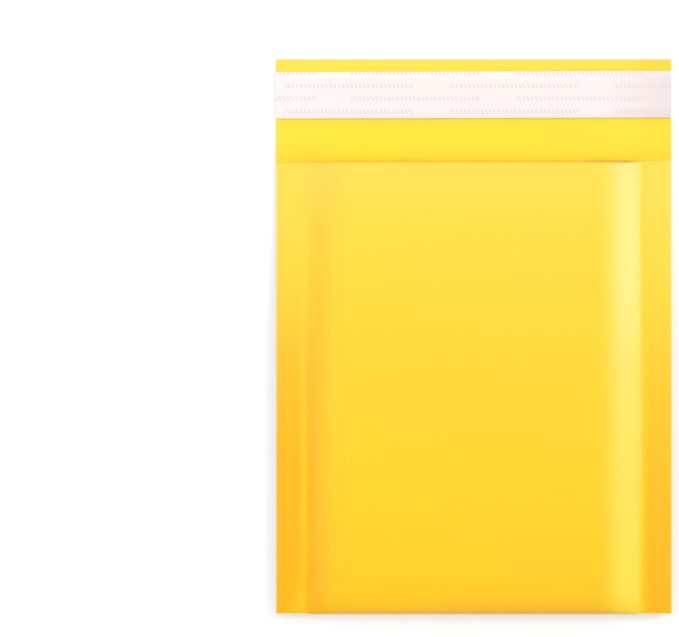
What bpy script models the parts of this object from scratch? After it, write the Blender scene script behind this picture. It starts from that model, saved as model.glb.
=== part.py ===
"""Self-seal bubble mailer, empty, lying on its back with its flap open.

Metres, +Z up. The mailer's width runs along X and its length along Y, with
the flap towards +Y. The origin is on the floor, under the middle of the mailer.
"""

import math

import bmesh
import bpy
from mathutils import Matrix

# Outside sizes of the mailer with its flap open
MAILER_WIDTH = 0.216
MAILER_LENGTH = 0.303
FLAP_LENGTH = 0.0567

# Thickness of each layer, and the gap left between layers that touch
PAPER = 0.0002
FILM = 0.0002
CLEARANCE = 0.0003

# Padding: bubbles on both faces of the pocket, and the room between them
BUBBLE_HEIGHT = 0.003
BUBBLE_BASE_RADIUS = 0.0055
BUBBLE_TOP_RADIUS = 0.0038
BUBBLE_PITCH = 0.0127
BUBBLE_SIDES = 6
BUBBLES_PAST_FLAT = 0.001
POCKET_GAP = 0.005

# Side seams, how the panels swell between them, and how the seams come down
# to the floor towards the mouth
SEAM_WIDTH = 0.016
FILM_IN_SEAM = 0.006
SEAM_EDGE_THICKNESS = 0.0003
SEAM_RAMP = 0.003
SHOULDER_WIDTH = 0.024
SHOULDER_EASE = 1.5
SHOULDER_STEPS = 7
BACK_SWELL = 0.0041
BACK_SWELL_AT_MOUTH = 0.0003
SEAM_DROP_LENGTH = 0.08
SEAM_DROP_STEPS = 4

# Bottom fold, seen from the side: half an oval, deeper than it is high
FOLD_DEPTH = 0.014
FOLD_STEPS = 6

# Mouth of the pocket
LINING_SETBACK = 0.003
LINING_CAVITY_INSET = 0.001
LEAST_HALF_CAVITY = 0.00005
MOUTH_STEP = 0.00002
MOUTH_FLAT = 0.002
FLAP_STEPS = 2

# Closure strip along the flap
STRIP_TOP_MARGIN = 0.0067
LINER_HEIGHT = 0.0254
LINER_THICKNESS = 0.0002
ADHESIVE_HEIGHT = 0.019
ADHESIVE_THICKNESS = 0.0002

# How far a cutter runs past the faces that it cuts
CUT_MARGIN = 0.005
# Distances below this come from rounding and not from the shape
ROUNDING = 0.000001
# Decimals kept by a layer's corners, so that its flats are flat to the last digit
DECIMALS = 7

# Places that follow from the sizes
HALF_WIDTH = MAILER_WIDTH / 2
Y_BOTTOM = -MAILER_LENGTH / 2
Y_TOP = MAILER_LENGTH / 2
Y_MOUTH = Y_TOP - FLAP_LENGTH
X_CREASE = HALF_WIDTH - SEAM_WIDTH
X_FLAT = X_CREASE - SHOULDER_WIDTH
X_FILM_EDGE = X_CREASE + FILM_IN_SEAM
X_SEAL = X_FILM_EDGE + CLEARANCE
SEAM_HALF = SEAM_EDGE_THICKNESS / 2 + CLEARANCE + PAPER
LAYERS = PAPER + CLEARANCE + FILM + BUBBLE_HEIGHT
THICKNESS = 2 * LAYERS + POCKET_GAP
Y_SEAM_DOWN = Y_MOUTH - LINING_SETBACK - MOUTH_FLAT
STRIP_MIDDLE = Y_TOP - STRIP_TOP_MARGIN - LINER_HEIGHT / 2
FLAP_FLAT_FROM = STRIP_MIDDLE - LINER_HEIGHT / 2 - Y_MOUTH - CLEARANCE


def clear_scene():
    for thing in list(bpy.data.objects):
        bpy.data.objects.remove(thing, do_unlink=True)


def collection(name):
    made = bpy.data.collections.new(name)
    bpy.context.scene.collection.children.link(made)
    return made


def finish(name, colour, roughness, see_through=0.0):
    material = bpy.data.materials.new(name)
    material.use_nodes = True
    shader = material.node_tree.nodes["Principled BSDF"]
    shader.inputs["Base Color"].default_value = (*colour, 1.0)
    shader.inputs["Roughness"].default_value = roughness
    shader.inputs["Metallic"].default_value = 0.0
    shader.inputs["Transmission Weight"].default_value = see_through
    return material


def as_object(name, mesh, group, material=None):
    data = bpy.data.meshes.new(name)
    bmesh.ops.recalc_face_normals(mesh, faces=mesh.faces)
    mesh.to_mesh(data)
    mesh.free()
    data.shade_smooth()
    data.set_sharp_from_angle(angle=math.radians(30))
    if material:
        data.materials.append(material)
    made = bpy.data.objects.new(name, data)
    group.objects.link(made)
    return made


def as_cutter(name, mesh, group):
    cutter = as_object(name, mesh, group)
    cutter.hide_render = True
    cutter.display_type = "WIRE"
    return cutter


def boolean(target, cutter, operation):
    step = target.modifiers.new(cutter.name, "BOOLEAN")
    step.object = cutter
    step.operation = operation
    step.solver = "EXACT"


def weld(target):
    """Merges the corners that a boolean leaves on top of each other."""
    step = target.modifiers.new("weld", "WELD")
    step.merge_threshold = ROUNDING


def seam_half(x):
    """Half the thickness of the side seam, which thins out past the film's edge."""
    past_film = max(0.0, abs(x) - X_SEAL)
    thinning = min(1.0, past_film / SEAM_RAMP)
    return SEAM_HALF + (PAPER - SEAM_HALF) * thinning


def swell_across(x):
    """0 on the side seams and 1 on the flat of the panel, eased at both ends."""
    up_shoulder = (X_CREASE - abs(x)) / SHOULDER_WIDTH
    up_shoulder = min(1.0, max(0.0, up_shoulder))
    return math.sin(up_shoulder * math.pi / 2) ** SHOULDER_EASE


def swell_along(y, inset):
    """0 at the bottom fold and 1 past it, as a quarter of an oval."""
    from_fold = (y - Y_BOTTOM - inset) / (FOLD_DEPTH - inset)
    from_fold = min(1.0, max(0.0, from_fold))
    return math.sqrt(1.0 - (1.0 - from_fold) ** 2)


def swell(x, y, inset):
    return swell_across(x) * swell_along(y, inset)


def fall(y, start, end):
    """1 up to start and 0 past end, eased at both."""
    along = min(1.0, max(0.0, (y - start) / (end - start)))
    return 1.0 - along * along * (3.0 - 2.0 * along)


def seam_height(y):
    """Middle of the side seams, which come down close to the floor at the mouth."""
    drop = BACK_SWELL - BACK_SWELL_AT_MOUTH
    still_up = fall(y, Y_SEAM_DOWN - SEAM_DROP_LENGTH, Y_SEAM_DOWN)
    return SEAM_HALF + BACK_SWELL_AT_MOUTH + drop * still_up


def front_surface(inset, least=0.0):
    """Height of the front panel, at a depth inset below its outer face."""

    def height(x, y):
        seam = seam_height(y)
        front_swell = THICKNESS - SEAM_HALF - seam
        above_seam = seam_half(x) - inset + front_swell * swell(x, y, inset)
        return seam + max(least, above_seam)

    return height


def back_surface(inset, least=0.0):
    """Height of the back panel, at a depth inset above its outer face."""

    def height(x, y):
        seam = seam_height(y)
        back_swell = seam - SEAM_HALF
        below_seam = seam_half(x) - inset + back_swell * swell(x, y, inset)
        return seam - max(least, below_seam)

    return height


def under_paper(x, y):
    """Outer face of the back panel and of the flap that carries on from it."""
    on_flap = fall(y, Y_MOUTH + MOUTH_FLAT, Y_MOUTH + FLAP_FLAT_FROM)
    return back_surface(0.0)(x, y) * on_flap


def over_flap(x, y):
    """Inner face of the flap, a hair below the pocket's floor, so that the cut
    over the flap and the cut for the pocket share no face."""
    return under_paper(x, y) + PAPER - MOUTH_STEP


def both_sides(distances):
    return sorted({-d for d in distances} | set(distances))


def fold_lines(inset):
    """Lines across the bottom fold, at even angles round its oval."""
    turn = math.pi / 2 / FOLD_STEPS
    depth = FOLD_DEPTH - inset
    angles = [turn * step for step in range(FOLD_STEPS + 1)]
    return [Y_BOTTOM + inset + depth * (1.0 - math.cos(a)) for a in angles]


def lines_between(start, end, steps):
    run = (end - start) / steps
    return [start + run * step for step in range(steps + 1)]


def shoulder_lines():
    return lines_between(X_FLAT, X_CREASE, SHOULDER_STEPS)


def drop_lines():
    """Lines across both panels where the seams come down to the floor."""
    return lines_between(Y_SEAM_DOWN - SEAM_DROP_LENGTH, Y_SEAM_DOWN, SEAM_DROP_STEPS)


def flap_lines():
    """Lines across the flap where its sealed edges come down to the floor."""
    return lines_between(Y_MOUTH + MOUTH_FLAT, Y_MOUTH + FLAP_FLAT_FROM, FLAP_STEPS)


def layered_body(x_lines, y_lines, under, over):
    """A block cut along the given lines, its two faces drawn to two heights."""
    mesh = bmesh.new()
    wide = x_lines[-1] - x_lines[0]
    long = y_lines[-1] - y_lines[0]
    middle = ((x_lines[0] + x_lines[-1]) / 2, (y_lines[0] + y_lines[-1]) / 2, 0.0)
    place = Matrix.Translation(middle) @ Matrix.Diagonal((wide, long, 1.0, 1.0))
    bmesh.ops.create_cube(mesh, size=1.0, matrix=place)
    for x in x_lines[1:-1]:
        cut(mesh, (x, 0.0, 0.0), (1.0, 0.0, 0.0))
    for y in y_lines[1:-1]:
        cut(mesh, (0.0, y, 0.0), (0.0, 1.0, 0.0))
    for point in mesh.verts:
        height = over if point.co.z > 0.0 else under
        x = round(point.co.x, DECIMALS)
        y = round(point.co.y, DECIMALS)
        point.co = (x, y, round(height(x, y), DECIMALS))
    warped = [face for face in mesh.faces if is_warped(face)]
    bmesh.ops.triangulate(mesh, faces=warped, quad_method="SHORT_EDGE")
    return mesh


def is_warped(face):
    """Whether a face's corners lie off one plane, by more than rounding."""
    first = face.verts[0].co
    face.normal_update()
    return any(abs((v.co - first).dot(face.normal)) > ROUNDING for v in face.verts)


def cut(mesh, point, normal):
    everything = mesh.verts[:] + mesh.edges[:] + mesh.faces[:]
    bmesh.ops.bisect_plane(mesh, geom=everything, plane_co=point, plane_no=normal)


def paper_envelope(parts, cutters, material):
    """One sheet of paper, folded at the bottom and sealed to itself down both
    sides, with the back panel carried on past the mouth as the flap."""
    outer_x = both_sides([HALF_WIDTH, X_SEAL + SEAM_RAMP, X_SEAL] + shoulder_lines())
    outer_y = fold_lines(0.0) + drop_lines() + flap_lines() + [Y_TOP]
    outer = layered_body(outer_x, outer_y, under_paper, front_surface(0.0))
    envelope = as_object("paper_envelope", outer, parts, material)

    def above_everything(x, y):
        return THICKNESS + CUT_MARGIN

    past_sides = [HALF_WIDTH + CUT_MARGIN] + outer_x[-(len(outer_x) // 2):]
    past_top = [Y_MOUTH] + flap_lines() + [Y_TOP + CUT_MARGIN]
    over_the_flap = layered_body(both_sides(past_sides), past_top, over_flap, above_everything)
    boolean(envelope, as_cutter("cut_over_flap", over_the_flap, cutters), "DIFFERENCE")

    inner_x = both_sides([X_SEAL] + shoulder_lines())
    inner_y = fold_lines(PAPER) + drop_lines() + [Y_MOUTH + MOUTH_FLAT / 2]
    cavity = layered_body(inner_x, inner_y, back_surface(PAPER), front_surface(PAPER))
    boolean(envelope, as_cutter("cut_pocket", cavity, cutters), "DIFFERENCE")
    weld(envelope)
    return envelope


def bubble_places():
    """Centres of the bubbles of one panel: staggered rows on the panel's flat."""
    row_step = BUBBLE_PITCH * math.sqrt(3) / 2
    first = Y_BOTTOM + FOLD_DEPTH + BUBBLE_BASE_RADIUS
    last = Y_MOUTH - LINING_SETBACK - BUBBLE_BASE_RADIUS - CLEARANCE
    rows = int((last - first) / row_step) + 1
    start = last - row_step * (rows - 1)
    reach = X_FLAT + BUBBLES_PAST_FLAT - BUBBLE_BASE_RADIUS + ROUNDING
    for row in range(rows):
        offset = 0.5 if row % 2 else 0.0
        each_way = int(reach / BUBBLE_PITCH - offset)
        columns = [offset + n for n in range(each_way + 1)]
        for column in both_sides(columns):
            yield column * BUBBLE_PITCH, start + row * row_step


def bubbles():
    """All the bubbles, each a tapered plug sunk half the film's depth."""
    mesh = bmesh.new()
    depth = BUBBLE_HEIGHT + FILM / 2
    layers = PAPER + CLEARANCE + FILM / 2
    middle = layers + depth / 2
    facing_up = Matrix.Identity(4)
    facing_down = Matrix.Rotation(math.pi, 4, "X")
    for height, facing in ((middle, facing_up), (THICKNESS - middle, facing_down)):
        for x, y in bubble_places():
            bmesh.ops.create_cone(
                mesh,
                cap_ends=True,
                segments=BUBBLE_SIDES,
                radius1=BUBBLE_BASE_RADIUS,
                radius2=BUBBLE_TOP_RADIUS,
                depth=depth,
                matrix=Matrix.Translation((x, y, height)) @ facing,
            )
    return mesh


def bubble_lining(parts, cutters, material):
    """One sheet of air-bubble film, folded at the bottom inside the paper, its
    side edges pressed flat and caught in the seams, its bubbles facing inwards."""
    outer_inset = PAPER + CLEARANCE
    inner_inset = outer_inset + FILM
    mouth = Y_MOUTH - LINING_SETBACK
    outer_x = both_sides([X_FILM_EDGE] + shoulder_lines())
    outer_y = fold_lines(outer_inset) + drop_lines() + [mouth]
    outer = layered_body(
        outer_x, outer_y, back_surface(outer_inset), front_surface(outer_inset)
    )
    lining = as_object("bubble_lining", outer, parts, material)

    inner_x = both_sides([X_CREASE - LINING_CAVITY_INSET] + shoulder_lines()[:-1])
    inner_y = fold_lines(inner_inset) + drop_lines() + [mouth + CUT_MARGIN]
    cavity = layered_body(
        inner_x,
        inner_y,
        back_surface(inner_inset, LEAST_HALF_CAVITY),
        front_surface(inner_inset, LEAST_HALF_CAVITY),
    )
    boolean(lining, as_cutter("cut_lining", cavity, cutters), "DIFFERENCE")
    boolean(lining, as_cutter("join_bubbles", bubbles(), cutters), "UNION")
    weld(lining)
    return lining


def strip(height, thickness, z_under):
    """A band along the flap, cut flush with the mailer's sides."""
    mesh = bmesh.new()
    place = Matrix.Translation((0.0, STRIP_MIDDLE, z_under + thickness / 2))
    size = Matrix.Diagonal((MAILER_WIDTH, height, thickness, 1.0))
    bmesh.ops.create_cube(mesh, size=1.0, matrix=place @ size)
    return mesh


def adhesive_strip(parts, material):
    """The band of permanent glue laid along the inside of the flap."""
    band = strip(ADHESIVE_HEIGHT, ADHESIVE_THICKNESS, PAPER + CLEARANCE)
    return as_object("adhesive_strip", band, parts, material)


def release_liner(parts, material):
    """The silicone-coated paper tape that covers the glue until it is used."""
    under = PAPER + CLEARANCE + ADHESIVE_THICKNESS + CLEARANCE
    band = strip(LINER_HEIGHT, LINER_THICKNESS, under)
    return as_object("release_liner", band, parts, material)


clear_scene()
mailer = collection("bubble_mailer")
cutter_group = collection("cutters")
golden_paper = finish("golden_kraft_paper", (0.96, 0.66, 0.06), 0.55)
clear_film = finish("clear_bubble_film", (0.90, 0.92, 0.93), 0.18, 0.6)
glue = finish("clear_glue", (0.88, 0.84, 0.70), 0.30)
white_liner = finish("white_release_paper", (0.96, 0.90, 0.89), 0.38)
paper_envelope(mailer, cutter_group, golden_paper)
bubble_lining(mailer, cutter_group, clear_film)
adhesive_strip(mailer, glue)
release_liner(mailer, white_liner)
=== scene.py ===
import math

import bmesh
import bpy
import numpy as np
from mathutils import Matrix, Vector, noise


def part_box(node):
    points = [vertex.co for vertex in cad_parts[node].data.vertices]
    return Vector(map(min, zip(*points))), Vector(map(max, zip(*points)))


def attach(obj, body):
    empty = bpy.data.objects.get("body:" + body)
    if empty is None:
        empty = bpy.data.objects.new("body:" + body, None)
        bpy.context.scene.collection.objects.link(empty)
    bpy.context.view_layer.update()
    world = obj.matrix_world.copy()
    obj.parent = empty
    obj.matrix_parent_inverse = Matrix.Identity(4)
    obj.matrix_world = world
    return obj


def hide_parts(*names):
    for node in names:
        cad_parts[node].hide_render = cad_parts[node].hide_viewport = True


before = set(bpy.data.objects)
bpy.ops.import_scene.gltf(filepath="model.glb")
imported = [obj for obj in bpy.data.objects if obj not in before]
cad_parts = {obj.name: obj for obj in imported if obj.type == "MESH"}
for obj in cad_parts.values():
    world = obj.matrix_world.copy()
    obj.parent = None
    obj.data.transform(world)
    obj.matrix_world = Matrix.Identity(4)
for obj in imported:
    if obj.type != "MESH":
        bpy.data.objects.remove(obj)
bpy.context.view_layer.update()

# Kraft paper envelope: one sheet of golden kraft paper, folded across the bottom and
# sealed to itself down both sides. The back panel runs on past the mouth as the flap.
# The paper is pressed smooth, so its face is satin, and it is pale where it was cut.
PAPER = 0.0002
CUT_EDGE_LIMIT = PAPER * 1.5
FLAP_LENGTH = 0.0567
FLAP_SETTLES_FROM = 0.002
FLAP_SETTLES_BY = 0.0243
SEAM_WIDTH = 0.016
SEAM_HALF = 0.00065
SEAM_HALF_AT_TRIM = PAPER * 1.05
SEAL_FROM = 0.0983
SEAL_RAMP = 0.009
SEAM_DROP_LENGTH = 0.11
SEAM_DOWN_BEFORE_MOUTH = 0.005
SHOULDER_WIDTH = 0.024
SHOULDER_EASE = 1.32
FRONT_SWELL = 0.007
BACK_SWELL = 0.0041
BACK_SWELL_AT_MOUTH = 0.0003
FOLD_DEPTH = 0.014
FOLD_FULLNESS = 0.78
LIP_LIFT = 0.0011
LIP_LIFT_FROM = 0.083
LIP_LIFT_TO = 0.097
LIP_LIFT_LENGTH = 0.02

# How far handling has pressed the front panel in: all over, in waves and in ripples
RELIEF = 0.00010
RELIEF_STARTS_FROM_SIDE = 0.002
RELIEF_FULL_FROM_SIDE = 0.02
WAVE_DEPTH = 0.00009
WAVES_PER_METRE = (14.0, 9.0)
WAVE_SEED = 3.1
RIPPLE_DEPTH = 0.00003
RIPPLES_PER_METRE = (45.0, 30.0)
RIPPLE_SEED = 8.2

# Creases by the lower left corner: start, end, width, and depth, less than 0 if raised
CREASES = (
    ((-0.093, -0.150), (-0.079, -0.112), 0.0022, 0.0004),
    ((-0.096, -0.149), (-0.088, -0.118), 0.0016, -0.0003),
    ((-0.084, -0.152), (-0.074, -0.128), 0.0018, 0.0003),
)

# Columns and rows of the flat sheet at which it bends: side edges and shoulders
# across, and top edge, mouth, both ends of the bottom fold and lip along
SHEET_COLUMNS = (0, 40, 74, 114)
SHEET_ROWS = (0, 28, 86, 118, 234)

sheet_low, sheet_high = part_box("paper_envelope")
half_width = sheet_high.x
y_top = sheet_high.y
y_bottom = sheet_low.y
y_mouth = y_top - FLAP_LENGTH
y_past_fold = y_bottom + FOLD_DEPTH
y_seam_down = y_mouth - SEAM_DOWN_BEFORE_MOUTH
x_crease = half_width - SEAM_WIDTH
x_flat = x_crease - SHOULDER_WIDTH


def ease(value, start, end):
    """0 at start and 1 at end, with no corner at either."""
    t = min(1.0, max(0.0, (value - start) / (end - start)))
    return t * t * (3.0 - 2.0 * t)


def swell_across(x):
    """0 on the side seams and 1 on the flat of a panel."""
    t = min(1.0, max(0.0, (x_crease - abs(x)) / SHOULDER_WIDTH))
    return math.sin(t * math.pi / 2) ** SHOULDER_EASE


def seam_half(x):
    """Half the thickness of the side seam, which thins past the film's edge."""
    thinning = min(1.0, max(0.0, (abs(x) - SEAL_FROM) / SEAL_RAMP))
    return SEAM_HALF + (SEAM_HALF_AT_TRIM - SEAM_HALF) * thinning


def back_swell(y):
    """Swell of the back panel, which dies away as the seams come down to the floor."""
    down = ease(y, y_seam_down - SEAM_DROP_LENGTH, y_seam_down)
    return BACK_SWELL + (BACK_SWELL_AT_MOUTH - BACK_SWELL) * down


def fold_depth_at(turn):
    """How far in from the bottom edge the fold has come at an angle, 0 to 1."""
    return 1.0 - max(0.0, math.cos(turn)) ** FOLD_FULLNESS


def round_over(turn):
    """Rounds the thin edge where the two seamed sheets meet at the bottom fold."""
    return 1.0 - (1.0 - math.sin(turn)) ** 4


def undulation(x, y, per_metre, seed):
    """Smooth noise over a sheet, from -1 to 1."""
    return noise.noise(Vector((x * per_metre[0], y * per_metre[1], seed)))


def crease_depth(x, y, start, end, width, depth):
    """Depth of a soft crease that runs from start to end and fades at both."""
    run = Vector(end) - Vector(start)
    along = (Vector((x, y)) - Vector(start)).dot(run) / run.length_squared
    off = (Vector((x, y)) - Vector(start) - run * along).length
    if along < 0.0 or along > 1.0:
        return 0.0
    return depth * math.sin(along * math.pi) * math.exp(-((off / width) ** 2))


def front_relief(x, y):
    """How far the front panel lies below its full height, as handling left it."""
    lower = RELIEF + WAVE_DEPTH * undulation(x, y, WAVES_PER_METRE, WAVE_SEED)
    lower += RIPPLE_DEPTH * undulation(x, y, RIPPLES_PER_METRE, RIPPLE_SEED)
    lower += sum(crease_depth(x, y, *crease) for crease in CREASES)
    from_side = half_width - abs(x)
    return lower * ease(from_side, RELIEF_STARTS_FROM_SIDE, RELIEF_FULL_FROM_SIDE)


def front_face(x, y, turn=math.pi / 2):
    """Height of the front panel's face, turn being the angle round the bottom fold."""
    full = math.sin(turn) ** FOLD_FULLNESS
    above_seam = seam_half(x) * round_over(turn) + FRONT_SWELL * swell_across(x) * full
    return SEAM_HALF + back_swell(y) + above_seam - front_relief(x, y) * full


def back_face(x, y, turn=math.pi / 2):
    """Height of the back panel's face."""
    full = math.sin(turn) ** FOLD_FULLNESS
    below_seam = seam_half(x) * round_over(turn) + back_swell(y) * swell_across(x) * full
    return SEAM_HALF + back_swell(y) - below_seam


def sheet_point(column, row):
    """Where a corner of the flat sheet lies once it is folded."""
    x = np.interp(column, SHEET_COLUMNS, (-half_width, -x_flat, x_flat, half_width))
    if row <= SHEET_ROWS[2]:
        y = np.interp(row, SHEET_ROWS[:3], (y_top, y_mouth, y_past_fold))
        settled = ease(y, y_mouth + FLAP_SETTLES_FROM, y_mouth + FLAP_SETTLES_BY)
        return x, y, back_face(x, y) * (1.0 - settled)
    if row >= SHEET_ROWS[3]:
        y = np.interp(row, SHEET_ROWS[3:], (y_past_fold, y_mouth))
        to_right = ease(x, LIP_LIFT_FROM, LIP_LIFT_TO)
        to_lip = ease(y, y_mouth - LIP_LIFT_LENGTH, y_mouth)
        return x, y + LIP_LIFT * to_right * to_lip, front_face(x, y)
    turn = np.interp(row, SHEET_ROWS[2:4], (-math.pi / 2, math.pi / 2))
    y = y_bottom + FOLD_DEPTH * fold_depth_at(turn)
    face = front_face if turn > 0.0 else back_face
    return x, y, face(x, y, abs(turn))


def folded_sheet(columns, rows, place, thickness):
    """A flat grid laid out by place(column, row), then given its thickness inwards.
    Returns the mesh and the faces of its outer side."""
    mesh = bmesh.new()
    bmesh.ops.create_grid(mesh, x_segments=columns, y_segments=rows, size=0.5)
    for corner in mesh.verts:
        column = round((corner.co.x + 0.5) * columns)
        row = round((corner.co.y + 0.5) * rows)
        corner.co = place(column, row)
    mesh.normal_update()
    mesh.faces.ensure_lookup_table()
    if mesh.faces[-1].normal.z < 0.0:
        bmesh.ops.reverse_faces(mesh, faces=mesh.faces)
    mesh.normal_update()
    outer = mesh.faces[:]
    bmesh.ops.solidify(mesh, geom=outer, thickness=thickness)
    return mesh, set(outer)


def as_piece(name, mesh, materials, sharp_degrees=50):
    """The finished mesh as an object at the origin, shaded smooth but for its edges."""
    data = bpy.data.meshes.new(name)
    mesh.to_mesh(data)
    mesh.free()
    data.shade_smooth()
    data.set_sharp_from_angle(angle=math.radians(sharp_degrees))
    for material in materials:
        data.materials.append(material)
    piece = bpy.data.objects.new(name, data)
    bpy.context.scene.collection.objects.link(piece)
    return piece


def plain_shader(name):
    """A new material and its shader."""
    material = bpy.data.materials.new(name)
    material.use_nodes = True
    return material, material.node_tree.nodes["Principled BSDF"]


def new_node(owner, kind, **values):
    """A new node in the owner's tree, with the given properties and inputs set."""
    node = owner.node_tree.nodes.new(kind)
    for key, value in values.items():
        if hasattr(node, key):
            setattr(node, key, value)
        else:
            node.inputs[key.replace("_", " ")].default_value = value
    return node


def link(owner, output, socket):
    """Feeds an output into a socket of the owner's tree."""
    owner.node_tree.links.new(output, socket)


def object_place(material):
    """Object coordinates in a material."""
    return new_node(material, "ShaderNodeTexCoord").outputs["Object"]


def across_and_along(material, place):
    """X and Y of a place by themselves."""
    split = new_node(material, "ShaderNodeSeparateXYZ")
    link(material, place, split.inputs["Vector"])
    return split.outputs["X"], split.outputs["Y"]


def map_range(material, value, start, end, at_start=0.0, at_end=1.0, soft=False):
    """A value moved from one range to another, and held inside it."""
    node = new_node(material, "ShaderNodeMapRange")
    node.interpolation_type = "SMOOTHSTEP" if soft else "LINEAR"
    for socket, number in zip(node.inputs[1:5], (start, end, at_start, at_end)):
        socket.default_value = number
    link(material, value, node.inputs["Value"])
    return node.outputs["Result"]


def arithmetic(owner, operation, first, second=0.0):
    """One step of arithmetic in a tree. Each side is a socket or a number."""
    node = new_node(owner, "ShaderNodeMath", operation=operation)
    for socket, value in zip(node.inputs, (first, second)):
        if isinstance(value, (int, float)):
            socket.default_value = value
        else:
            link(owner, value, socket)
    return node.outputs["Value"]


def overlap(material, first, *others):
    """Where several masks meet: their product."""
    for other in others:
        first = arithmetic(material, "MULTIPLY", first, other)
    return first


def tones(material, value, stops):
    """A colour that runs through the stops, each a place from 0 to 1 and a colour."""
    node = new_node(material, "ShaderNodeValToRGB")
    ramp = node.color_ramp
    while len(ramp.elements) < len(stops):
        ramp.elements.new(0.5)
    for element, (place, colour) in zip(ramp.elements, stops):
        element.position = place
        element.color = (*colour, 1.0)
    link(material, value, node.inputs["Fac"])
    return node.outputs["Color"]


def blend(material, mask, below, above, blend_type="MIX"):
    """Colour above laid over colour below by a mask. Each may be a socket or a value."""
    node = new_node(material, "ShaderNodeMix", data_type="RGBA", blend_type=blend_type)
    for name, value in (("Factor", mask), ("A", below), ("B", above)):
        if isinstance(value, bpy.types.NodeSocket):
            link(material, value, node.inputs[name])
        elif isinstance(value, tuple):
            node.inputs[name].default_value = (*value, 1.0)
        else:
            node.inputs[name].default_value = value
    return node.outputs["Result"]


# Fibres lie mostly along X, and clouds of them gather here and there
FIBRES_PER_METRE = (900.0, 2600.0, 900.0)
CLOUDS_PER_METRE = 260.0
FIBRE_RELIEF = 0.00001
FIBRE_BUMP = 0.5
FIBRE_GLOSS_SPREAD = 0.03
NOISE_REACH = (0.3, 0.7)


def fibre_group():
    """Paper fibre: a fine value for colour, and a height for the bump."""
    group = bpy.data.node_groups.new("paper_fibre", "ShaderNodeTree")
    sockets = group.interface
    sockets.new_socket("Vector", in_out="INPUT", socket_type="NodeSocketVector")
    sockets.new_socket("Fleck", in_out="OUTPUT", socket_type="NodeSocketFloat")
    sockets.new_socket("Height", in_out="OUTPUT", socket_type="NodeSocketFloat")
    nodes, join = group.nodes, group.links.new
    start = nodes.new("NodeGroupInput")
    end = nodes.new("NodeGroupOutput")
    stretch = nodes.new("ShaderNodeMapping")
    stretch.inputs["Scale"].default_value = FIBRES_PER_METRE
    join(start.outputs["Vector"], stretch.inputs["Vector"])
    fibres = nodes.new("ShaderNodeTexNoise")
    fibres.inputs["Scale"].default_value = 1.0
    fibres.inputs["Detail"].default_value = 3.0
    join(stretch.outputs["Vector"], fibres.inputs["Vector"])
    clouds = nodes.new("ShaderNodeTexNoise")
    clouds.inputs["Scale"].default_value = CLOUDS_PER_METRE
    clouds.inputs["Detail"].default_value = 2.0
    join(start.outputs["Vector"], clouds.inputs["Vector"])
    half_clouds = nodes.new("ShaderNodeMath")
    half_clouds.operation = "MULTIPLY"
    half_clouds.inputs[1].default_value = 0.5
    join(clouds.outputs["Fac"], half_clouds.inputs[0])
    both = nodes.new("ShaderNodeMath")
    both.operation = "MULTIPLY_ADD"
    both.inputs[1].default_value = 0.5
    join(fibres.outputs["Fac"], both.inputs[0])
    join(half_clouds.outputs["Value"], both.inputs[2])
    join(both.outputs["Value"], end.inputs["Fleck"])
    join(both.outputs["Value"], end.inputs["Height"])
    return group


paper_fibre = fibre_group()


def fibre_in(material, place):
    """The fibre group placed in a material, on that material's coordinates."""
    fibre = new_node(material, "ShaderNodeGroup")
    fibre.node_tree = paper_fibre
    link(material, place, fibre.inputs["Vector"])
    return fibre


def paper_surface(material, shader, place, colour, contrast, gloss):
    """Fibre over a colour, in the gloss and in the bump of a paper's face."""
    fibre = fibre_in(material, place)
    fleck = fibre.outputs["Fleck"]
    tint = map_range(material, fleck, *NOISE_REACH, 1.0 - contrast, 1.0)
    flecked = blend(material, 1.0, colour, tint, "MULTIPLY")
    link(material, flecked, shader.inputs["Base Color"])
    dull, shiny = gloss + FIBRE_GLOSS_SPREAD, gloss - FIBRE_GLOSS_SPREAD
    roughness = map_range(material, fleck, *NOISE_REACH, dull, shiny)
    link(material, roughness, shader.inputs["Roughness"])
    bump = new_node(material, "ShaderNodeBump", Distance=FIBRE_RELIEF, Strength=FIBRE_BUMP)
    link(material, fibre.outputs["Height"], bump.inputs["Height"])
    link(material, bump.outputs["Normal"], shader.inputs["Normal"])


KRAFT_CONTRAST = 0.02
SATIN = 0.38
SATIN_LEVEL = 0.42
TRIMMED_COLOUR = (0.86, 0.78, 0.42)
TRIMMED_STRENGTH = 0.55
LEFT_SHOULDER_SHADE = (1.0, 0.93, 0.60)

# Tones of the outer face, from the mouth down to the bottom fold: a painted sheen paler towards
# the mouth, and painted shade deepening towards the fold
PANEL_SHEEN_AND_SHADE_TONES = (
    (0.00, (0.98, 0.690, 0.085)),
    (0.13, (0.98, 0.665, 0.055)),
    (0.31, (0.98, 0.633, 0.037)),
    (0.70, (0.98, 0.608, 0.018)),
    (1.00, (0.98, 0.550, 0.010)),
)
# Painted shade on the side seams, deepening from the mouth towards the fold; the left seam
# darkens sooner than the right
RIGHT_SEAM_SHADE_TONES = (
    (0.00, (0.98, 0.690, 0.085)),
    (0.30, (0.98, 0.630, 0.040)),
    (0.55, (0.98, 0.540, 0.015)),
    (0.80, (0.98, 0.480, 0.006)),
    (1.00, (0.98, 0.450, 0.004)),
)
LEFT_SEAM_SHADE_TONES = (
    (0.00, (0.98, 0.690, 0.085)),
    (0.22, (0.98, 0.646, 0.052)),
    (0.42, (0.98, 0.530, 0.024)),
    (0.64, (0.98, 0.475, 0.010)),
    (1.00, (0.98, 0.450, 0.004)),
)
# Painted shade by the mouth and a painted highlight lower down, on the front's right shoulder
RIGHT_SHOULDER_SHADE_AND_HIGHLIGHT_TONES = (
    (0.00, (0.98, 0.56, 0.045)),
    (0.25, (0.98, 0.56, 0.035)),
    (0.50, (0.98, 0.61, 0.035)),
    (1.00, (0.98, 0.62, 0.020)),
)

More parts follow.
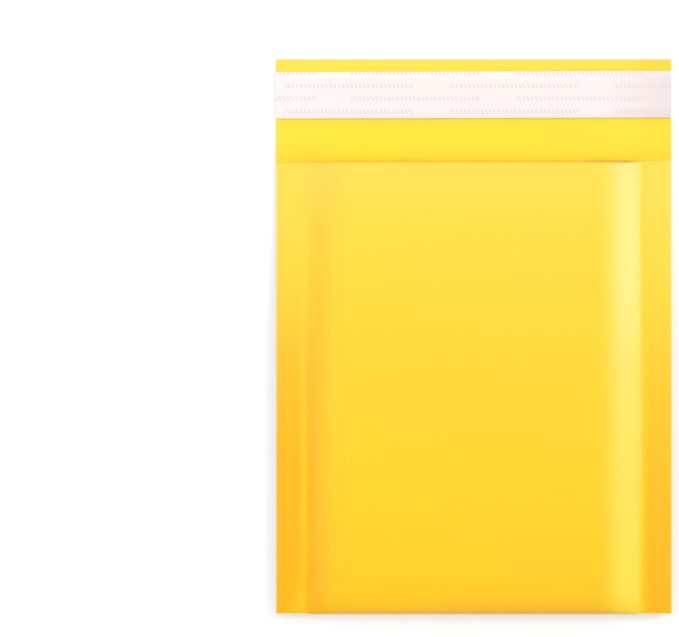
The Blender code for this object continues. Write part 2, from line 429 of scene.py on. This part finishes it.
# Where one tone of the outer face turns into the next, from start to end
on_right_shoulder = (x_flat + 0.003, x_flat + 0.012)
off_right_shoulder = (x_crease - 0.004, x_crease)
on_right_seam = (x_crease - 0.0005, x_crease + 0.005)
on_left_seam = (-x_crease + 0.013, -x_crease - 0.001)
off_left_crease = (-x_crease + 0.0005, -x_crease + 0.004)
off_left_flat = (-x_crease + 0.017, -x_crease + 0.009)
below_lip = (y_mouth - 0.0098, y_mouth - 0.0448)
on_trim = (half_width - 0.0009, half_width - 0.0002)

# A painted highlight along the left crease, which spreads outwards towards its foot
LINE_PAST_CREASE = 0.0008
LINE_WIDTH = 0.003
LINE_WIDTH_AT_FOOT = 0.012
LINE_SPREADS_FROM = 0.0235
LINE_STRENGTH = 0.8


def crease_highlight(material, x, y):
    """The mask of the painted highlight along the left crease."""
    spreads_from = y_bottom + LINE_SPREADS_FROM
    outwards = map_range(material, y, spreads_from, y_bottom, LINE_WIDTH, LINE_WIDTH_AT_FOOT)
    from_line = arithmetic(material, "ADD", x, x_crease + LINE_PAST_CREASE)
    off_left = arithmetic(material, "DIVIDE", from_line, outwards)
    off_left = arithmetic(material, "MULTIPLY", off_left, -1.0)
    off_right = arithmetic(material, "DIVIDE", from_line, LINE_WIDTH)
    off_line = arithmetic(material, "MAXIMUM", off_left, off_right)
    return map_range(material, off_line, 0.0, 1.0, LINE_STRENGTH, 0.0, soft=True)


def kraft_material(name, is_front):
    """Outer face of golden kraft, with light painted into its colour: a painted sheen
    towards the mouth, painted shade deepening by the seams and down to the fold, and a
    pale line where the sheet was trimmed. The front's right shoulder has painted shade and
    a painted highlight and its left shoulder painted shade; the left crease has a painted
    highlight."""
    material, shader = plain_shader(name)
    place = object_place(material)
    x, y = across_and_along(material, place)
    down = map_range(material, y, y_mouth, y_bottom)
    panel = tones(material, down, PANEL_SHEEN_AND_SHADE_TONES)
    if is_front:
        # The right shoulder's painted shade and highlight, which give way to the panel's tones
        # at the crease
        shoulder_painted_light = map_range(material, x, *on_right_shoulder, soft=True)
        creased = map_range(material, x, *off_right_shoulder, soft=True)
        shoulder = tones(material, down, RIGHT_SHOULDER_SHADE_AND_HIGHLIGHT_TONES)
        shoulder = blend(material, creased, shoulder, panel)
        panel = blend(material, shoulder_painted_light, panel, shoulder)
    right = map_range(material, x, *on_right_seam, soft=True)
    colour = blend(material, right, panel, tones(material, down, RIGHT_SEAM_SHADE_TONES))
    left = map_range(material, x, *on_left_seam, soft=True)
    colour = blend(material, left, colour, tones(material, down, LEFT_SEAM_SHADE_TONES))
    if is_front:
        off_crease = map_range(material, x, *off_left_crease, soft=True)
        off_flat = map_range(material, x, *off_left_flat, soft=True)
        lower = map_range(material, y, *below_lip, soft=True)
        shaded = overlap(material, off_crease, off_flat, lower)
        colour = blend(material, shaded, colour, LEFT_SHOULDER_SHADE, "MULTIPLY")
    # Painted highlight along the left crease
    colour = blend(material, crease_highlight(material, x, y), colour, panel)
    side = arithmetic(material, "ABSOLUTE", x)
    trimmed = map_range(material, side, *on_trim, 0.0, TRIMMED_STRENGTH)
    colour = blend(material, trimmed, colour, TRIMMED_COLOUR)
    paper_surface(material, shader, place, colour, KRAFT_CONTRAST, SATIN)
    shader.inputs["Specular IOR Level"].default_value = SATIN_LEVEL
    return material


INNER_GLOSS = 0.5
# Painted shade on the flap beside the mouth, towards the sides
BESIDE_MOUTH_SHADE_COLOUR = (0.98, 0.64, 0.022)
RIGHT_CORNER_SHADE = (1.0, 0.91, 0.55)
# Painted shadow of the front lip on the flap, along the mouth
LIP_SHADOW_COLOUR = (0.84, 0.46, 0.012)
LIP_SHADOW_AT_LEFT = (0.1, 0.75)
LIP_SHADOW_AT_RIGHT = (1.0, 0.3)

# Tones of the inner face on the flap, from the mouth up to the flap's edge: painted shade just
# above the mouth and a painted sheen towards the edge
FLAP_SHADE_AND_SHEEN_TONES = (
    (0.00, (0.98, 0.68, 0.020)),
    (0.09, (0.98, 0.76, 0.026)),
    (0.25, (0.98, 0.73, 0.030)),
    (0.60, (0.98, 0.71, 0.036)),
    (1.00, (0.98, 0.72, 0.070)),
)

# Where they turn: as shares of the flap's length, and as places on the sheet
LOW_ON_FLAP = (0.35, 0.0)
UP_THE_FLAP = (0.0, 0.8)
to_side = (x_flat + 0.002, x_crease + 0.004)
to_right_corner = (x_crease - 0.012, x_crease + 0.006)
down_to_mouth = (y_mouth + 0.0022, y_mouth + 0.0006)
lip_shadow_deepens = (x_flat - 0.013, x_flat + 0.004)
lip_shadow_fades = (x_crease - 0.012, x_crease + 0.004)


def inner_kraft_material():
    """Inner face of the sheet, which the open flap shows: less pressed, so less glossy.
    Its colour holds painted shade just above and beside the mouth, the painted shadow of
    the lip along it, painted shade in the flap's far right corner and a painted sheen
    towards the flap's edge.
    """
    material, shader = plain_shader("golden_kraft_inside")
    place = object_place(material)
    x, y = across_and_along(material, place)
    up = map_range(material, y, y_mouth, y_top)
    colour = tones(material, up, FLAP_SHADE_AND_SHEEN_TONES)
    near_side = map_range(material, arithmetic(material, "ABSOLUTE", x), *to_side, soft=True)
    low = map_range(material, up, *LOW_ON_FLAP, soft=True)
    beside_mouth = overlap(material, near_side, low)
    colour = blend(material, beside_mouth, colour, BESIDE_MOUTH_SHADE_COLOUR)
    right = map_range(material, x, *to_right_corner, soft=True)
    high = map_range(material, up, *UP_THE_FLAP, soft=True)
    right_corner = overlap(material, right, high)
    colour = blend(material, right_corner, colour, RIGHT_CORNER_SHADE, "MULTIPLY")
    # Painted shadow of the lip along the mouth, deepest towards the right shoulder
    by_lip = map_range(material, y, *down_to_mouth, soft=True)
    deepens = map_range(material, x, *lip_shadow_deepens, *LIP_SHADOW_AT_LEFT, soft=True)
    fades = map_range(material, x, *lip_shadow_fades, *LIP_SHADOW_AT_RIGHT, soft=True)
    lip_shadow = overlap(material, by_lip, deepens, fades)
    colour = blend(material, lip_shadow, colour, LIP_SHADOW_COLOUR)
    paper_surface(material, shader, place, colour, KRAFT_CONTRAST, INNER_GLOSS)
    return material


CORE_TONES = ((0.3, (0.93, 0.78, 0.42)), (0.7, (0.98, 0.90, 0.68)))
CORE_GLOSS = 0.8


def cut_edge_material():
    """The cut edge of the sheet, where the undyed core of the paper shows."""
    material, shader = plain_shader("paper_cut_edge")
    fibre = fibre_in(material, object_place(material))
    core = tones(material, fibre.outputs["Fleck"], CORE_TONES)
    link(material, core, shader.inputs["Base Color"])
    shader.inputs["Roughness"].default_value = CORE_GLOSS
    return material


paper_materials = (
    kraft_material("golden_kraft_front", True),
    inner_kraft_material(),
    cut_edge_material(),
    kraft_material("golden_kraft_back", False),
)
INSIDE, CUT_EDGE, BACK = 1, 2, 3
paper_mesh, outer_faces = folded_sheet(SHEET_COLUMNS[-1], SHEET_ROWS[-1], sheet_point, PAPER)
for face in paper_mesh.faces:
    narrowest = min(edge.calc_length() for edge in face.edges)
    if narrowest < CUT_EDGE_LIMIT:
        face.material_index = CUT_EDGE
    elif face not in outer_faces:
        face.material_index = INSIDE
    elif face.normal.z < 0.0:
        face.material_index = BACK
envelope = as_piece("kraft_envelope", paper_mesh, paper_materials)
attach(envelope, "root")
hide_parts("paper_envelope")

# Bubble film lining: one sheet of clear polyethylene film, bonded inside the paper and
# folded with it, its edges pressed flat in the side seams. Each bubble is a pocket of
# air drawn up from the film, in staggered rows that face into the pouch.
FILM = 0.0002
FILM_INSET = 0.0005
FILM_EDGE = 0.098
FILM_SHARP_DEGREES = 60
LINING_SETBACK = 0.003
BUBBLE_HEIGHT = 0.003
BUBBLE_BASE_RADIUS = 0.0055
BUBBLE_TOP_RADIUS = 0.0038
BUBBLE_ROUNDING = 0.0013
BUBBLE_SIDES = 12
BUBBLE_PITCH = 0.0127
BUBBLE_COLUMNS = 11
BUBBLE_ROWS = 20
BUBBLES_FROM_FILM_EDGE = 0.0003
SLOPE_STEP = 0.001
FACES_DOWN = -0.9
FILM_COLOUR = (0.97, 0.90, 0.70, 1.0)
FILM_LEVEL = 0.8
FILM_SLANT = 0.4
FILM_SLANT_REACH = (0.1, 0.9)
FILM_COVER = (0.30, 0.78)
FILM_GLOSS = (0.10, 0.24)
FILM_HAZE_PER_METRE = 90.0
FILM_RELIEF = 0.0001
FILM_BUMP = 0.3

# Columns and rows of the flat film at which it bends: side edges and shoulders
# across, and one end, both ends of the bottom fold and the other end along
FILM_COLUMNS = (0, 20, 30, 50)
FILM_ROWS = (0, 40, 56, 96)

film_mouth = y_mouth - LINING_SETBACK
row_step = BUBBLE_PITCH * math.sqrt(3) / 2
first_row = film_mouth - BUBBLE_BASE_RADIUS - BUBBLES_FROM_FILM_EDGE


def film_point(column, row):
    """Where a corner of the film lies, half a millimetre inside the paper's face."""
    x = np.interp(column, FILM_COLUMNS, (-FILM_EDGE, -x_flat, x_flat, FILM_EDGE))
    if row <= FILM_ROWS[1]:
        y = np.interp(row, FILM_ROWS[:2], (film_mouth, y_past_fold))
        return x, y, back_face(x, y) + FILM_INSET
    if row >= FILM_ROWS[2]:
        y = np.interp(row, FILM_ROWS[2:], (y_past_fold, film_mouth))
        return x, y, front_face(x, y) - FILM_INSET
    turn = np.interp(row, FILM_ROWS[1:3], (-math.pi / 2, math.pi / 2))
    y = y_bottom + FILM_INSET + (FOLD_DEPTH - FILM_INSET) * fold_depth_at(turn)
    face = front_face if turn > 0.0 else back_face
    inwards = FILM_INSET if turn > 0.0 else -FILM_INSET
    return x, y, face(x, y, abs(turn)) - inwards * round_over(abs(turn))


def bubble_dome():
    """One bubble: a tapered cup with a rounded top, open where it meets the film."""
    mesh = bmesh.new()
    middle = BUBBLE_HEIGHT / 2
    bmesh.ops.create_cone(
        mesh,
        cap_ends=True,
        segments=BUBBLE_SIDES,
        radius1=BUBBLE_BASE_RADIUS,
        radius2=BUBBLE_TOP_RADIUS,
        depth=BUBBLE_HEIGHT,
        matrix=Matrix.Translation((0.0, 0.0, middle)),
    )
    base = [face for face in mesh.faces if face.normal.z < FACES_DOWN]
    bmesh.ops.delete(mesh, geom=base, context="FACES_ONLY")
    rim = [edge for edge in mesh.edges if min(v.co.z for v in edge.verts) > middle]
    bmesh.ops.bevel(
        mesh,
        geom=rim,
        offset=BUBBLE_ROUNDING,
        segments=2,
        profile=0.5,
        affect="EDGES",
        material=-1,
    )
    return mesh


def bubble_places():
    """Centres of one panel's bubbles, in staggered rows from the mouth downwards."""
    for row in range(BUBBLE_ROWS):
        count = BUBBLE_COLUMNS - (BUBBLE_ROWS - 1 - row) % 2
        for column in range(count):
            yield (column - (count - 1) / 2) * BUBBLE_PITCH, first_row - row * row_step


def add_bubbles(mesh):
    """Stands a dome at every place of both panels, facing into the pouch."""
    dome = bubble_dome()
    pattern = bpy.data.meshes.new("bubble_dome")
    dome.to_mesh(pattern)
    dome.free()
    for x, y in bubble_places():
        rise = front_face(x, y + SLOPE_STEP) - front_face(x, y - SLOPE_STEP)
        slope = math.atan(rise / (2 * SLOPE_STEP))
        hanging = Matrix.Rotation(slope + math.pi, 4, "X")
        bottom = (x, y, FILM_INSET + FILM)
        top = (x, y, front_face(x, y) - FILM_INSET - FILM)
        for place, turn in ((bottom, Matrix.Identity(4)), (top, hanging)):
            before = len(mesh.verts)
            mesh.from_mesh(pattern)
            mesh.verts.ensure_lookup_table()
            stand = Matrix.Translation(place) @ turn
            bmesh.ops.transform(mesh, verts=mesh.verts[before:], matrix=stand)
    bpy.data.meshes.remove(pattern)


def film_material():
    """Clear film with a soft gloss: the paper shows through, less where it slants."""
    material, shader = plain_shader("clear_bubble_film")
    slant = new_node(material, "ShaderNodeLayerWeight", Blend=FILM_SLANT)
    cover = map_range(material, slant.outputs["Facing"], *FILM_SLANT_REACH, *FILM_COVER)
    link(material, cover, shader.inputs["Alpha"])
    haze = new_node(material, "ShaderNodeTexNoise", Scale=FILM_HAZE_PER_METRE, Detail=2.0)
    link(material, object_place(material), haze.inputs["Vector"])
    gloss = map_range(material, haze.outputs["Fac"], *NOISE_REACH, *FILM_GLOSS)
    link(material, gloss, shader.inputs["Roughness"])
    bump = new_node(material, "ShaderNodeBump", Distance=FILM_RELIEF, Strength=FILM_BUMP)
    link(material, haze.outputs["Fac"], bump.inputs["Height"])
    link(material, bump.outputs["Normal"], shader.inputs["Normal"])
    shader.inputs["Base Color"].default_value = FILM_COLOUR
    shader.inputs["Specular IOR Level"].default_value = FILM_LEVEL
    return material


film_mesh, _ = folded_sheet(FILM_COLUMNS[-1], FILM_ROWS[-1], film_point, FILM)
add_bubbles(film_mesh)
lining = as_piece("bubble_film", film_mesh, (film_material(),), FILM_SHARP_DEGREES)
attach(lining, "root")
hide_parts("bubble_lining")

# Adhesive strip: a band of permanent hot-melt glue laid along the inside of the flap.
# It is soft and faintly amber, with rounded edges, and it holds the release liner down.
GLUE_ROUNDING = 0.45
GLUE_SHARP_DEGREES = 30
GLUE_TONES = ((0.3, (0.86, 0.78, 0.55)), (0.7, (0.92, 0.86, 0.68)))
GLUE_GLOSS = 0.3
GLUE_RIPPLES_PER_METRE = 300.0
GLUE_RELIEF = 0.0001
GLUE_BUMP = 0.4

glue_low, glue_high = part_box("adhesive_strip")
glue_size = glue_high - glue_low


def glue_material():
    """Amber glue, uneven in tone and in height."""
    material, shader = plain_shader("clear_glue")
    ripple = new_node(material, "ShaderNodeTexNoise", Scale=GLUE_RIPPLES_PER_METRE, Detail=2.0)
    link(material, object_place(material), ripple.inputs["Vector"])
    tone = tones(material, ripple.outputs["Fac"], GLUE_TONES)
    link(material, tone, shader.inputs["Base Color"])
    bump = new_node(material, "ShaderNodeBump", Distance=GLUE_RELIEF, Strength=GLUE_BUMP)
    link(material, ripple.outputs["Fac"], bump.inputs["Height"])
    link(material, bump.outputs["Normal"], shader.inputs["Normal"])
    shader.inputs["Roughness"].default_value = GLUE_GLOSS
    return material


glue_mesh = bmesh.new()
glue_place = Matrix.Translation((glue_low + glue_high) / 2) @ Matrix.Diagonal((*glue_size, 1.0))
bmesh.ops.create_cube(glue_mesh, size=1.0, matrix=glue_place)
bmesh.ops.bevel(
    glue_mesh,
    geom=glue_mesh.edges[:],
    offset=glue_size.z * GLUE_ROUNDING,
    segments=3,
    profile=0.5,
    affect="EDGES",
    material=-1,
)
glue = as_piece("glue_band", glue_mesh, (glue_material(),), GLUE_SHARP_DEGREES)
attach(glue, "root")
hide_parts("adhesive_strip")

# Release liner: white silicone-coated paper tape that covers the glue until the mailer
# is closed. It is wider than the glue, so its long edges relax towards the flap, and it
# was laid a hair out of square. It carries plain faint marks.
LINER_TILT = 0.00065
LINER_DROOP = 0.00035
LINER_DROOP_LENGTH = 0.0032
LINER_RIPPLE = 0.00006
LINER_RIPPLES_PER_METRE = (30.0, 60.0)
LINER_RIPPLE_SEED = 5.0
LINER_COLUMNS = 72
LINER_ROWS = 16
LINER_WHITE = (0.92, 0.83, 0.815)
LINER_WHITE_AT_RIGHT = (0.82, 0.72, 0.715)
LINER_TURNS_GREYER = (0.070, 0.106)
LINER_CONTRAST = 0.03

# Marks: rows of short slanted strokes, in runs that start later in every other row
MARK_COLOUR = (0.78, 0.68, 0.69)
MARK_ROW = 0.007
MARK_HEIGHT = 0.0024
MARK_PITCH = 0.0023
MARK_SHARE = 0.42
MARK_SLANT = 0.5
MARK_RUN = 0.090
MARK_RUN_SHARE = 0.79
MARK_STARTS = -0.1035
MARK_ROW_SHIFT = 0.0366

liner_low, liner_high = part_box("release_liner")
liner_middle = (liner_low + liner_high) / 2


def liner_point(column, row):
    """Where a corner of the tape lies, on its upper face."""
    x = liner_low.x + (liner_high.x - liner_low.x) * column / LINER_COLUMNS
    y = liner_low.y + (liner_high.y - liner_low.y) * row / LINER_ROWS
    past_glue = abs(y - liner_middle.y) - glue_size.y / 2
    droop = LINER_DROOP * ease(past_glue, 0.0, LINER_DROOP_LENGTH)
    unevenness = undulation(x, y, LINER_RIPPLES_PER_METRE, LINER_RIPPLE_SEED)
    ripple = LINER_RIPPLE * (1.0 + unevenness)
    tilt = LINER_TILT * x / (2 * liner_high.x)
    return x, y + tilt, liner_high.z - droop - ripple


def mark_mask(material, x, y):
    """1 on the strokes and 0 between them."""
    from_edge = arithmetic(material, "SUBTRACT", y, liner_low.y)
    rows = arithmetic(material, "DIVIDE", from_edge, MARK_ROW)
    row = arithmetic(material, "FLOOR", rows)
    up_row = arithmetic(material, "SUBTRACT", rows, row)
    above_middle = arithmetic(material, "SUBTRACT", up_row, 0.5)
    off_middle = arithmetic(material, "ABSOLUTE", above_middle)
    on_row = arithmetic(material, "LESS_THAN", off_middle, MARK_HEIGHT / MARK_ROW / 2)
    odd_row = arithmetic(material, "MODULO", row, 2.0)
    shift = arithmetic(material, "MULTIPLY", odd_row, MARK_ROW_SHIFT)
    from_start = arithmetic(material, "SUBTRACT", x, MARK_STARTS - MARK_RUN)
    from_start = arithmetic(material, "SUBTRACT", from_start, shift)
    runs = arithmetic(material, "DIVIDE", from_start, MARK_RUN)
    along_run = arithmetic(material, "FRACT", runs)
    in_run = arithmetic(material, "LESS_THAN", along_run, MARK_RUN_SHARE)
    slant = arithmetic(material, "MULTIPLY", above_middle, MARK_SLANT * MARK_ROW)
    slanted = arithmetic(material, "ADD", from_start, slant)
    strokes = arithmetic(material, "DIVIDE", slanted, MARK_PITCH)
    along_stroke = arithmetic(material, "FRACT", strokes)
    in_stroke = arithmetic(material, "LESS_THAN", along_stroke, MARK_SHARE)
    return overlap(material, on_row, in_run, in_stroke)


def liner_material():
    """White tape with faint marks, a little greyer towards its right end."""
    material, shader = plain_shader("white_release_paper")
    place = object_place(material)
    x, y = across_and_along(material, place)
    greyer = map_range(material, x, *LINER_TURNS_GREYER)
    white = blend(material, greyer, LINER_WHITE, LINER_WHITE_AT_RIGHT)
    colour = blend(material, mark_mask(material, x, y), white, MARK_COLOUR)
    paper_surface(material, shader, place, colour, LINER_CONTRAST, SATIN)
    return material


liner_mesh, _ = folded_sheet(LINER_COLUMNS, LINER_ROWS, liner_point, PAPER)
liner = as_piece("release_tape", liner_mesh, (liner_material(),))
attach(liner, "root")
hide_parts("release_liner")

# Studio: a white floor just under the mailer, a soft key lamp and a sheen lamp on the
# right, a fill lamp on the left, and a pale sky all round. The camera looks straight
# down on the mailer.
FLOOR_DEPTH = 0.0002
FLOOR_REACH = 3.0
FLOOR_GREY = (0.55, 0.55, 0.55, 1.0)
FLOOR_GLOW = 0.47
KEY_COLOUR = (1.0, 0.99, 0.97)
WHITE = (1.0, 1.0, 1.0)
SKY_OVERHEAD = 0.16
SKY_ROUND = 1.30
SKY_LEAN = (0.46, 0.52, 0.0)
CAMERA_PLACE = (-0.0732, 0.0098, 2.0)
CAMERA_LENS = 193.9


def floor_material():
    """White floor that shows white but keeps the object's soft shadow."""
    material, shader = plain_shader("white_floor")
    shader.inputs["Base Color"].default_value = FLOOR_GREY
    shader.inputs["Roughness"].default_value = 1.0
    shader.inputs["Specular IOR Level"].default_value = 0.0
    ray = new_node(material, "ShaderNodeLightPath").outputs
    seen = arithmetic(material, "MAXIMUM", ray["Is Camera Ray"], ray["Is Glossy Ray"])
    seen = arithmetic(material, "MAXIMUM", seen, ray["Is Transmission Ray"])
    glow = arithmetic(material, "MULTIPLY", seen, FLOOR_GLOW)
    shader.inputs["Emission Color"].default_value = (*WHITE, 1.0)
    link(material, glow, shader.inputs["Emission Strength"])
    return material


floor_mesh = bmesh.new()
below = Matrix.Translation((0.0, 0.0, -FLOOR_DEPTH))
bmesh.ops.create_grid(floor_mesh, x_segments=4, y_segments=4, size=FLOOR_REACH, matrix=below)
floor = as_piece("floor", floor_mesh, (floor_material(),))


def soft_lamp(name, place, size, watts, colour=WHITE):
    """A soft lamp of the given width and height at place, turned towards the mailer."""
    light = bpy.data.lights.new(name, "AREA")
    light.shape = "RECTANGLE"
    light.size, light.size_y = size
    light.energy = watts
    light.color = colour
    lamp = bpy.data.objects.new(name, light)
    lamp.location = place
    lamp.rotation_euler = (-Vector(place)).to_track_quat("-Z", "Y").to_euler()
    bpy.context.scene.collection.objects.link(lamp)
    return lamp


soft_lamp("key_lamp", place=(0.95, 0.34, 0.80), size=(0.3, 0.42), watts=3.6, colour=KEY_COLOUR)
sheen_lamp = soft_lamp("sheen_lamp", place=(1.05, 0.24, 0.66), size=(0.3, 0.6), watts=7.6)
sheen_lamp.visible_diffuse = False
fill_lamp = soft_lamp("fill_lamp", place=(-0.85, 0.0, 0.80), size=(0.6, 0.6), watts=4.4)
fill_lamp.visible_glossy = False


def pale_sky():
    """A pale sky, dimmer overhead so that flat paper keeps its depth of colour, and
    a little brighter beyond the flap and on the right."""
    world = bpy.data.worlds.new("pale_sky")
    world.use_nodes = True
    direction = new_node(world, "ShaderNodeTexCoord").outputs["Generated"]
    split = new_node(world, "ShaderNodeSeparateXYZ")
    link(world, direction, split.inputs["Vector"])
    up = split.outputs["Z"]
    overhead = arithmetic(world, "MULTIPLY", up, up)
    dimming = arithmetic(world, "MULTIPLY", overhead, SKY_ROUND)
    strength = arithmetic(world, "SUBTRACT", SKY_OVERHEAD + SKY_ROUND, dimming)
    lean = new_node(world, "ShaderNodeVectorMath", operation="DOT_PRODUCT")
    link(world, direction, lean.inputs[0])
    lean.inputs[1].default_value = SKY_LEAN
    strength = arithmetic(world, "ADD", strength, lean.outputs["Value"])
    background = world.node_tree.nodes["Background"]
    link(world, strength, background.inputs["Strength"])
    background.inputs["Color"].default_value = (*WHITE, 1.0)
    return world


bpy.context.scene.world = pale_sky()

view = bpy.data.cameras.new("camera")
view.lens = CAMERA_LENS
view.sensor_width = 36.0
view.clip_start = 0.1
view.clip_end = 20.0
camera = bpy.data.objects.new("camera", view)
camera.location = CAMERA_PLACE
bpy.context.scene.collection.objects.link(camera)
bpy.context.scene.camera = camera
bpy.context.scene.view_settings.view_transform = "Standard"
